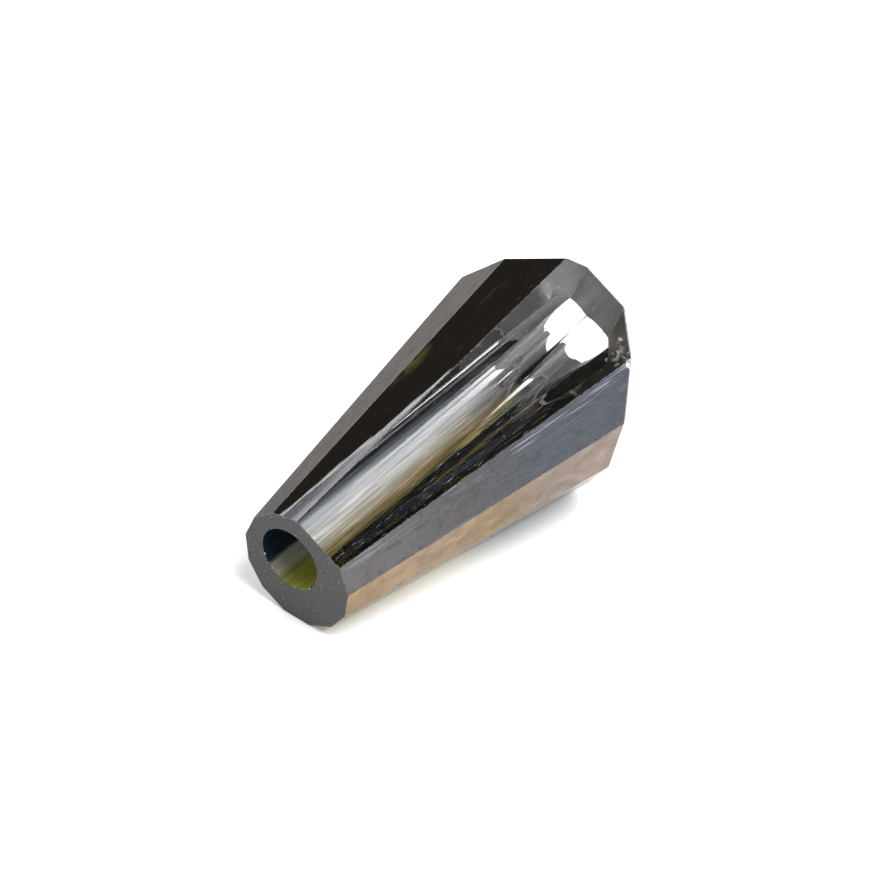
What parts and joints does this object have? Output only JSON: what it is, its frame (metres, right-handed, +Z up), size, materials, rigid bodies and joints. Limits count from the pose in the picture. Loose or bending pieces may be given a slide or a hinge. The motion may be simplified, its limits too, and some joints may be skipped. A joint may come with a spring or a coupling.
{
  "type": "cone bead",
  "caption": "Small cut-glass cone bead, drilled from end to end, that threads onto jewellery wire or cord and tapers from a wide bevelled end to a small flat end.",
  "frame": {"origin": "middle of the footprint's box, on the surface that the bead lies on", "axes": "+X lengthwise along the surface, from the small end to the wide end; +Z up; +Y completes a right-handed frame. The bead's own axis rises 8.5 degrees towards +X, because it lies on a facet of a taper"},
  "size_m": [0.0126, 0.0068, 0.0071],
  "materials": {
    "coated_glass": "polished facets with a thin half-metallic coating, matt ground ends"
  },
  "bodies": {
    "root": {"bead": "coated_glass"}
  },
  "joints": []
}
